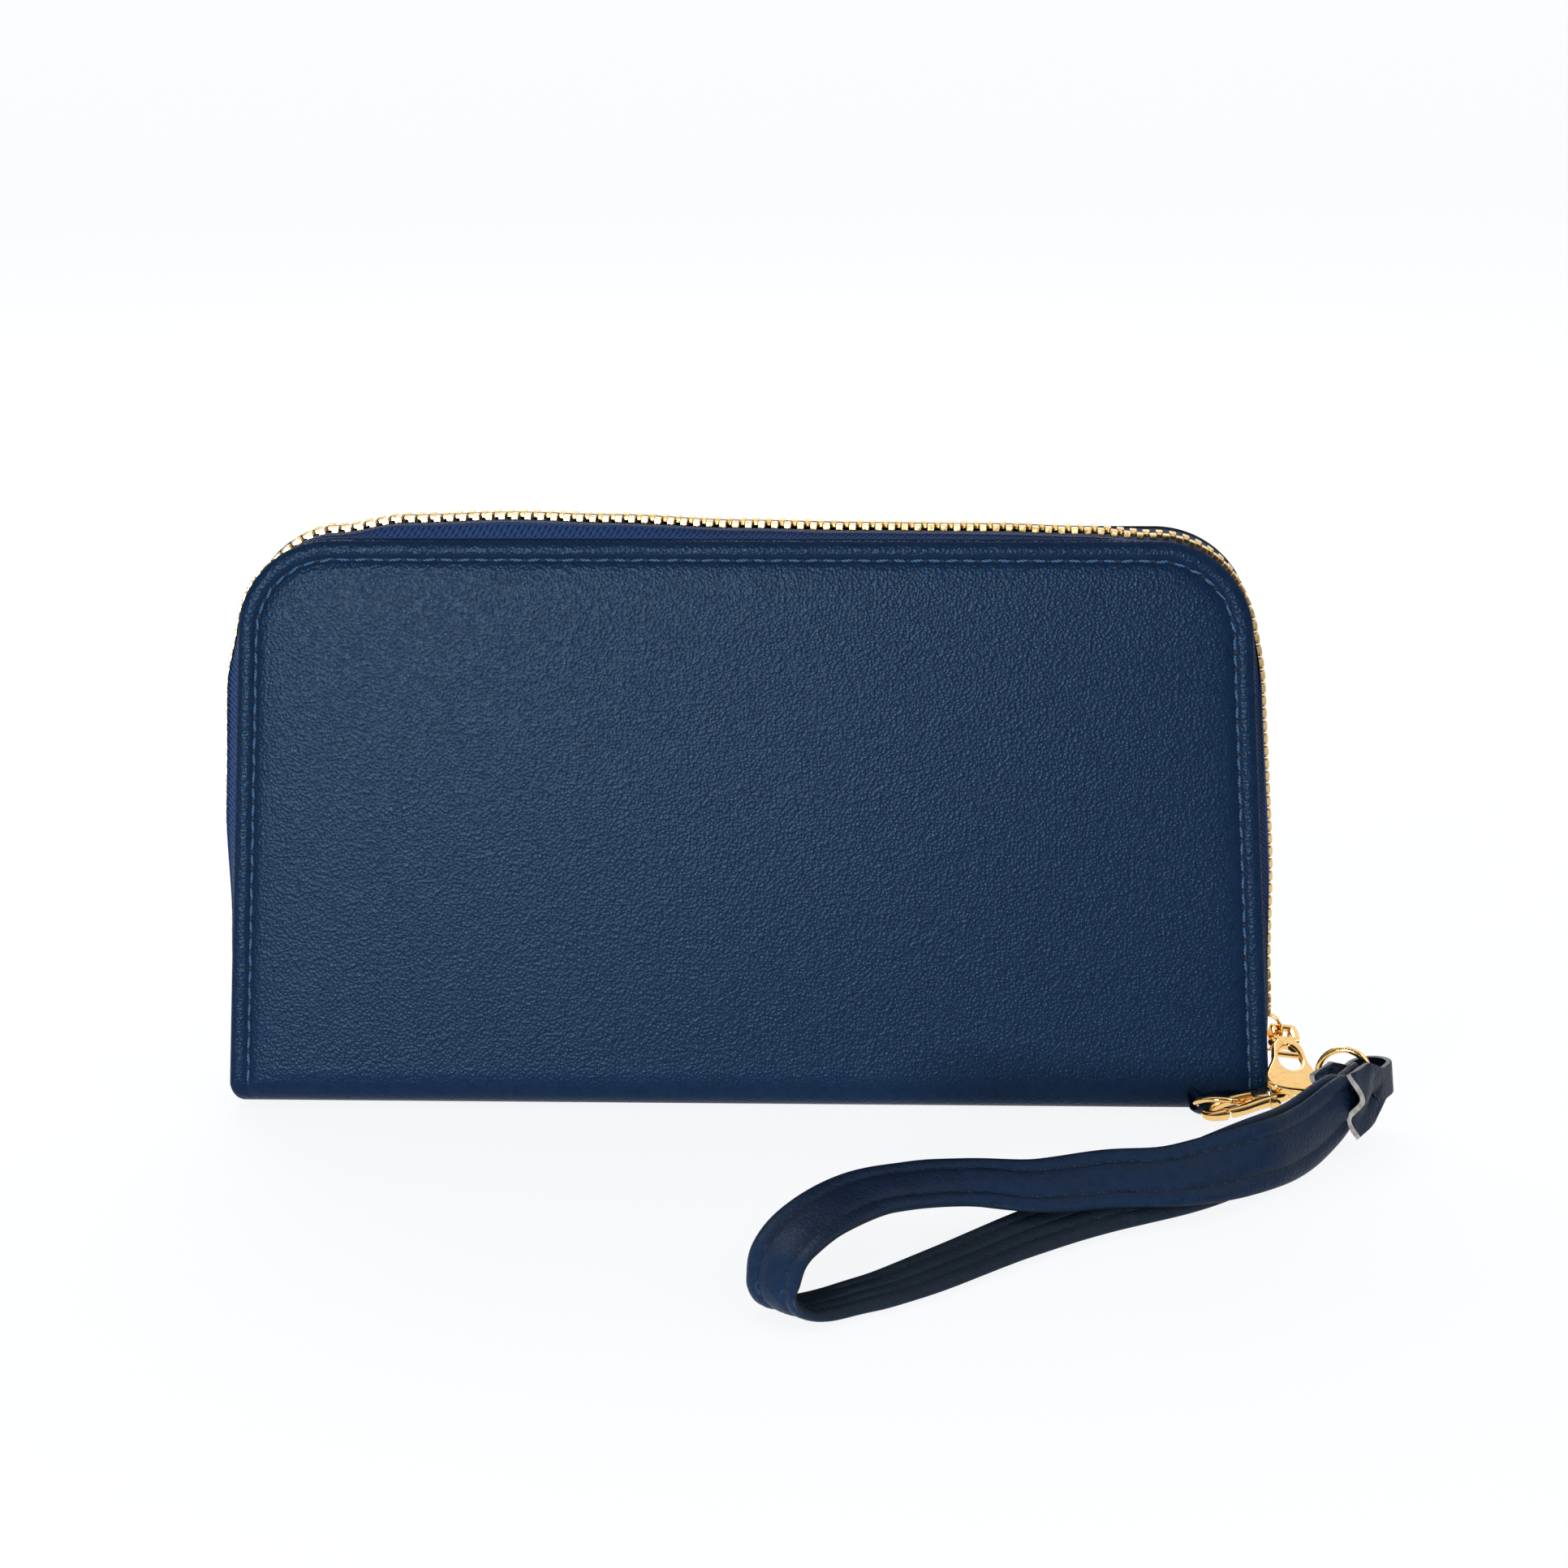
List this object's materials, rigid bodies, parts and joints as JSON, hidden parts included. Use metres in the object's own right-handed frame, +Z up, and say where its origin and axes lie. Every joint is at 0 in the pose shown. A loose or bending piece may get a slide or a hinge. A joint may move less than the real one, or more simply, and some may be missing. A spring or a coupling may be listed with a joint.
{
  "type": "wristlet wallet",
  "caption": "Zip-around leather wallet with gold hardware and a detachable clip-on wrist strap.",
  "frame": {"origin": "middle of the spine's flat underside, where the closed wallet stands", "axes": "+X along the spine towards the slider's end, -Y out of the front cover, +Z up to the top zip"},
  "size_m": [0.2193, 0.1409, 0.1101],
  "materials": {
    "leather": "fine-grained, semi-gloss navy leather",
    "strap_leather": "soft navy leather, satin",
    "lining": "woven navy lining",
    "board": "grey bonded-leather stiffening board",
    "zip_tape": "woven blue polyester zip tape",
    "gold": "polished pale gold plate",
    "steel": "plain steel pin"
  },
  "bodies": {
    "root": {"front_cover": "leather", "front_board": "board", "front_lining": "lining", "front_card_pocket_1": "lining", "front_card_pocket_2": "lining", "front_card_pocket_3": "lining", "front_card_pocket_4": "lining", "front_zip_tape": "zip_tape", "front_teeth": "gold", "spine_cover": "leather", "spine_lining": "lining", "ring_loop": "leather"},
    "back_half": {"back_cover": "leather", "back_board": "board", "back_lining": "lining", "back_card_pocket_1": "lining", "back_card_pocket_2": "lining", "back_card_pocket_3": "lining", "back_card_pocket_4": "lining", "back_zip_tape": "zip_tape", "back_teeth": "gold"},
    "coin_leaf": {"coin_pocket": "lining", "coin_front_tape": "zip_tape", "coin_back_tape": "zip_tape", "coin_front_teeth": "gold", "coin_back_teeth": "gold"},
    "slider": {"slider_body": "gold", "slider_crown": "gold"},
    "puller": {"puller_link": "gold", "puller": "gold"},
    "ring": {"strap_ring": "gold"},
    "clasp": {"clasp_hook": "gold", "lever_pin": "steel"},
    "lever": {"clasp_lever": "gold"},
    "eye": {"clasp_eye": "gold"},
    "strap": {"strap_tab": "strap_leather", "strap_loop": "strap_leather"}
  },
  "joints": [
    {"name": "back_hinge", "type": "hinge", "parent": "root", "child": "back_half", "pos_m": [0, 0.013, 0.0053], "axis": [-1, 0, 0], "range_deg": [0, 85]},
    {"name": "coin_leaf_hinge", "type": "hinge", "parent": "root", "child": "coin_leaf", "pos_m": [0, 0, 0.003], "axis": [-1, 0, 0], "range_deg": [0, 43]},
    {"name": "slider_travel", "type": "slide", "parent": "root", "child": "slider", "axis": [-0.0208, 0, 0.9998], "range_m": [0, 0.066]},
    {"name": "puller_hinge", "type": "hinge", "parent": "slider", "child": "puller", "pos_m": [0.10148, 0, 0.01233], "axis": [-1, 0, 0], "range_deg": [0, 45]},
    {"name": "ring_hinge", "type": "hinge", "parent": "root", "child": "ring", "pos_m": [0.0851, -0.01434, 0.00214], "axis": [-0.5345, -0.7126, 0.4544], "range_deg": [-25, 0]},
    {"name": "clasp_hinge", "type": "hinge", "parent": "ring", "child": "clasp", "pos_m": [0.08937, -0.01819, 0.00275], "axis": [-0.2401, -0.029, 0.9703], "range_deg": [-12, 0]},
    {"name": "lever_hinge", "type": "hinge", "parent": "clasp", "child": "lever", "pos_m": [0.09829, -0.01843, 0.00495], "axis": [-0.2401, -0.029, 0.9703], "range_deg": [0, 25], "stiffness_Nm_per_rad": 0.01, "springref_deg": -8.59},
    {"name": "swivel_turn", "type": "hinge", "parent": "clasp", "child": "eye", "pos_m": [0.10335, -0.0163, 0.00626], "axis": [0.9633, 0.1163, 0.242], "range_deg": [-20, 80]},
    {"name": "strap_swing", "type": "hinge", "parent": "eye", "child": "strap", "pos_m": [0.11655, -0.0185, 0.00935], "axis": [-0.0805, 0.0201, 0.9966], "range_deg": [-20, 45]}
  ],
  "couplings": [
    {"joint": "coin_leaf_hinge", "follows": "back_hinge", "ratio": 0.5}
  ]
}
